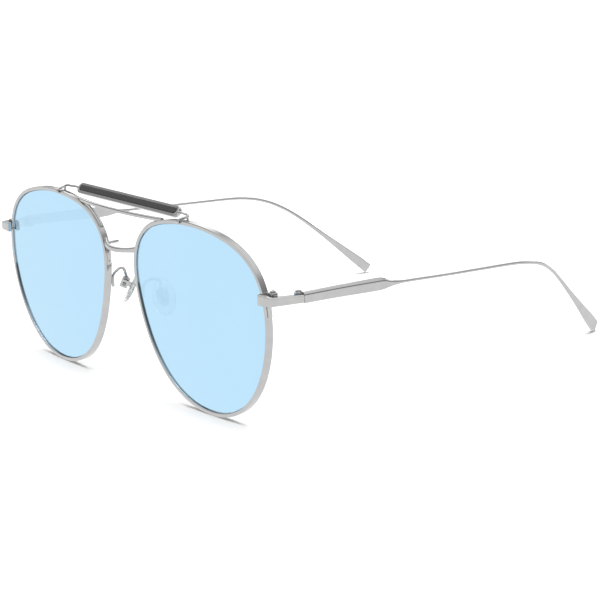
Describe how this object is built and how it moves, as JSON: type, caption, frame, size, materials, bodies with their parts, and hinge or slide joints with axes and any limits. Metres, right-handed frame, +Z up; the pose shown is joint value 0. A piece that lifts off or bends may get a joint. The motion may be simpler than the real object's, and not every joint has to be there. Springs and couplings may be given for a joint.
{
  "type": "aviator sunglasses",
  "caption": "Aviator sunglasses with mirrored teardrop lenses, flat wire rims, a bridge, a cross bar, an inlaid brow bar on wire clips, rocking nose pads and folding wire temples.",
  "frame": {"origin": "middle of the bottom of the bounding box: the floor that the rims and the temple tips stand on", "axes": "+Z up, the front of the glasses faces -Y, the temples run to +Y, +X is the wearer's left"},
  "size_m": [0.148, 0.1496, 0.0596],
  "materials": {
    "silver": "polished silver plating",
    "screw": "machined",
    "lens": "pale ice-blue mirror coating on a nylon lens",
    "inlay": "satin dark grey",
    "pad": "clear frosted silicone"
  },
  "bodies": {
    "front": {"bridge": "silver", "cross_bar": "silver", "brow_bar": "silver", "brow_bar_inlay": "inlay", "left_rim": "silver", "left_lens": "lens", "left_endpiece": "silver", "left_upper_closing_block": "silver", "left_lower_closing_block": "silver", "left_closing_screw": "screw", "left_brow_clip": "silver", "left_front_hinge": "silver", "left_hinge_screw": "screw", "left_nose_pad_arm": "silver", "left_pad_box": "silver", "left_pad_screw": "screw", "right_rim": "silver", "right_lens": "lens", "right_endpiece": "silver", "right_upper_closing_block": "silver", "right_lower_closing_block": "silver", "right_closing_screw": "screw", "right_brow_clip": "silver", "right_front_hinge": "silver", "right_hinge_screw": "screw", "right_nose_pad_arm": "silver", "right_pad_box": "silver", "right_pad_screw": "screw"},
    "left_temple_body": {"left_temple": "silver", "left_temple_hinge": "silver"},
    "left_pad_body": {"left_nose_pad": "pad", "left_pad_core": "silver"},
    "right_temple_body": {"right_temple": "silver", "right_temple_hinge": "silver"},
    "right_pad_body": {"right_nose_pad": "pad", "right_pad_core": "silver"}
  },
  "joints": [
    {"name": "left_temple_fold", "type": "hinge", "parent": "front", "child": "left_temple_body", "pos_m": [0.0713, -0.0606, 0.0394], "axis": [0, 0, 1], "range_deg": [0, 83]},
    {"name": "right_temple_fold", "type": "hinge", "parent": "front", "child": "right_temple_body", "pos_m": [-0.0713, -0.0606, 0.0394], "axis": [0, 0, -1], "range_deg": [0, 76]},
    {"name": "left_pad_rock", "type": "hinge", "parent": "front", "child": "left_pad_body", "pos_m": [0.01035, -0.06435, 0.02986], "axis": [-0.6925, -0.6687, -0.2706], "range_deg": [-10, 10]},
    {"name": "right_pad_rock", "type": "hinge", "parent": "front", "child": "right_pad_body", "pos_m": [-0.01035, -0.06435, 0.02986], "axis": [-0.6925, 0.6687, 0.2706], "range_deg": [-10, 10]}
  ]
}
